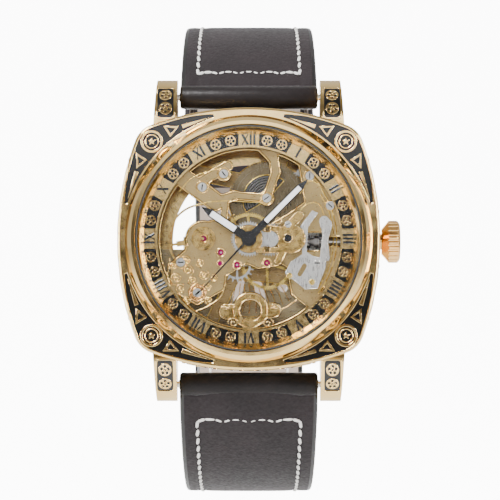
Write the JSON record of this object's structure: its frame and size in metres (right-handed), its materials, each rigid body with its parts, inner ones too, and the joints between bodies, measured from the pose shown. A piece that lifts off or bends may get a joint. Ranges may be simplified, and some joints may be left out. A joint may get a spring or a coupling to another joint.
{
  "type": "skeleton wristwatch",
  "caption": "Automatic skeleton wristwatch with a cushion case, open-worked movement, pencil hands and a buckled leather strap.",
  "frame": {"origin": "centre of the outer face of the case back glass, on the axis of the hands", "axes": "-Y out of the dial towards the reader, +X to 3 o'clock, +Z to 12 o'clock, +Y into the wrist"},
  "size_m": [0.0472, 0.0746, 0.0831],
  "materials": {
    "gold_case": "polished light gold plating",
    "gold_crown": "polished orange gold plating",
    "crystal": "clear mineral crystal",
    "gasket": "matte",
    "gold_satin": "satin gold plating",
    "steel": "brushed",
    "brass": "satin",
    "lacquer": "gloss black lacquer",
    "lume": "matte white",
    "ruby": "polished synthetic ruby",
    "leather": "smooth dark brown calf"
  },
  "bodies": {
    "watch": {"balance_cock": "gold_satin", "barrel_bridge": "gold_satin", "bezel": "gold_case", "buckle_bar": "gold_case", "buckle_frame": "gold_case", "case_back_glass": "crystal", "case_back_ring": "gold_case", "case_body": "gold_case", "chapter_lacquer": "lacquer", "chapter_ring": "gold_case", "crystal_gasket": "gasket", "flange_ring": "gold_satin", "front_crystal": "crystal", "hairspring": "steel", "jewels": "ruby", "keeper_fixed": "leather", "keeper_loose": "leather", "main_plate": "gold_satin", "motion_bridge": "gold_satin", "movement_ring": "gold_satin", "movement_screws": "steel", "ring_bridge": "gold_satin", "rotor_bearing": "steel", "setting_cover": "steel", "shock_setting": "gold_satin", "spring_bars": "steel", "strap_lower": "leather", "strap_upper": "leather", "train_bridge": "gold_satin"},
    "minute": {"centre_wheel": "brass", "cannon_pinion": "steel", "minute_hand": "lacquer", "minute_hand_lume": "lume"},
    "hour": {"hour_wheel": "steel", "hour_hand": "lacquer", "hour_hand_lume": "lume"},
    "minute_wheel": {"minute_wheel": "steel"},
    "third": {"third_wheel": "brass"},
    "second": {"fourth_wheel": "brass", "second_hand": "lacquer"},
    "escape": {"escape_wheel": "steel"},
    "barrel": {"barrel_drum": "gold_satin", "barrel_cover": "gold_satin", "mainspring": "steel"},
    "ratchet": {"ratchet_wheel": "steel"},
    "crown_wheel": {"crown_wheel": "steel"},
    "click": {"click": "steel"},
    "pallet": {"pallet_fork": "steel", "pallet_stones": "ruby"},
    "balance": {"balance_wheel": "gold_satin"},
    "setting_wheel": {"setting_wheel": "steel"},
    "clutch": {"winding_pinion": "steel", "sliding_pinion": "steel"},
    "crown": {"winding_stem": "steel", "crown": "gold_crown"},
    "setting_lever": {"setting_lever": "steel"},
    "rotor": {"rotor": "gold_satin"},
    "reverser_1": {"reversing_wheel_1": "steel"},
    "reverser_2": {"reversing_wheel_2": "steel"},
    "tongue": {"buckle_tongue": "gold_case"}
  },
  "joints": [
    {"name": "minute_turn", "type": "hinge", "parent": "watch", "child": "minute", "pos_m": [0, -0.008, 0], "axis": [0, 1, 0], "continuous": true},
    {"name": "hour_turn", "type": "hinge", "parent": "watch", "child": "hour", "pos_m": [0, -0.0086, 0], "axis": [0, 1, 0], "continuous": true},
    {"name": "minute_wheel_turn", "type": "hinge", "parent": "watch", "child": "minute_wheel", "pos_m": [0.00358, -0.0082, -0.00007], "axis": [0, 1, 0], "continuous": true},
    {"name": "third_turn", "type": "hinge", "parent": "watch", "child": "third", "pos_m": [0.00305, -0.0056, -0.00398], "axis": [0, 1, 0], "continuous": true},
    {"name": "second_turn", "type": "hinge", "parent": "watch", "child": "second", "pos_m": [0, -0.005, 0], "axis": [0, 1, 0], "continuous": true},
    {"name": "escape_turn", "type": "hinge", "parent": "watch", "child": "escape", "pos_m": [-0.00197, -0.0061, -0.00432], "axis": [0, 1, 0], "continuous": true},
    {"name": "barrel_turn", "type": "hinge", "parent": "watch", "child": "barrel", "pos_m": [0.0032, -0.006, 0.0067], "axis": [0, 1, 0], "continuous": true},
    {"name": "setting_wheel_turn", "type": "hinge", "parent": "watch", "child": "setting_wheel", "pos_m": [0.00731, -0.0082, -0.00007], "axis": [0, 1, 0], "continuous": true},
    {"name": "crown_turn", "type": "hinge", "parent": "watch", "child": "clutch", "pos_m": [0.0117, -0.0067, -0.0004], "axis": [1, 0, 0], "continuous": true},
    {"name": "crown_wheel_turn", "type": "hinge", "parent": "watch", "child": "crown_wheel", "pos_m": [0.009, -0.0047, -0.0004], "axis": [0, 1, 0], "continuous": true},
    {"name": "ratchet_turn", "type": "hinge", "parent": "watch", "child": "ratchet", "pos_m": [0.0032, -0.0047, 0.0067], "axis": [0, 1, 0], "continuous": true},
    {"name": "crown_pull", "type": "slide", "parent": "clutch", "child": "crown", "axis": [1, 0, 0], "range_m": [0, 0.0012]},
    {"name": "setting_lever_turn", "type": "hinge", "parent": "watch", "child": "setting_lever", "pos_m": [0.0126, -0.0083, 0.003], "axis": [0, 1, 0], "range_deg": [-12, 1]},
    {"name": "click_turn", "type": "hinge", "parent": "watch", "child": "click", "pos_m": [0.0089, -0.0047, 0.0114], "axis": [0, 1, 0], "range_deg": [-8, 0]},
    {"name": "pallet_rock", "type": "hinge", "parent": "watch", "child": "pallet", "pos_m": [-0.00468, -0.0061, -0.00225], "axis": [0, 1, 0], "range_deg": [-4, 4]},
    {"name": "balance_swing", "type": "hinge", "parent": "watch", "child": "balance", "pos_m": [-0.00758, -0.0055, 0.00007], "axis": [0, 1, 0], "range_deg": [-270, 270], "stiffness_Nm_per_rad": 0.00000078},
    {"name": "rotor_turn", "type": "hinge", "parent": "watch", "child": "rotor", "pos_m": [0, -0.0026, 0], "axis": [0, 1, 0], "continuous": true},
    {"name": "reverser_1_turn", "type": "hinge", "parent": "watch", "child": "reverser_1", "pos_m": [-0.0034, -0.0031, 0.0026], "axis": [0, 1, 0], "continuous": true},
    {"name": "reverser_2_turn", "type": "hinge", "parent": "watch", "child": "reverser_2", "pos_m": [0.0026, -0.0031, -0.0034], "axis": [0, 1, 0], "continuous": true},
    {"name": "tongue_swing", "type": "hinge", "parent": "watch", "child": "tongue", "pos_m": [0, 0.05234, 0.00218], "axis": [1, 0, 0], "range_deg": [0, 20]}
  ],
  "couplings": [
    {"joint": "hour_turn", "follows": "minute_turn", "ratio": 0.083333},
    {"joint": "minute_wheel_turn", "follows": "minute_turn", "ratio": -0.33333},
    {"joint": "third_turn", "follows": "minute_turn", "ratio": -8},
    {"joint": "second_turn", "follows": "minute_turn", "ratio": 60},
    {"joint": "escape_turn", "follows": "minute_turn", "ratio": -600},
    {"joint": "barrel_turn", "follows": "minute_turn", "ratio": -0.16667},
    {"joint": "setting_wheel_turn", "follows": "minute_turn", "ratio": 0.85714},
    {"joint": "crown_wheel_turn", "follows": "crown_turn", "ratio": -0.5},
    {"joint": "ratchet_turn", "follows": "crown_turn", "ratio": 0.32558},
    {"joint": "setting_lever_turn", "follows": "crown_pull", "rad_per_m": -159.99},
    {"joint": "reverser_1_turn", "follows": "rotor_turn", "ratio": -1.5},
    {"joint": "reverser_2_turn", "follows": "rotor_turn", "ratio": -1.5}
  ]
}
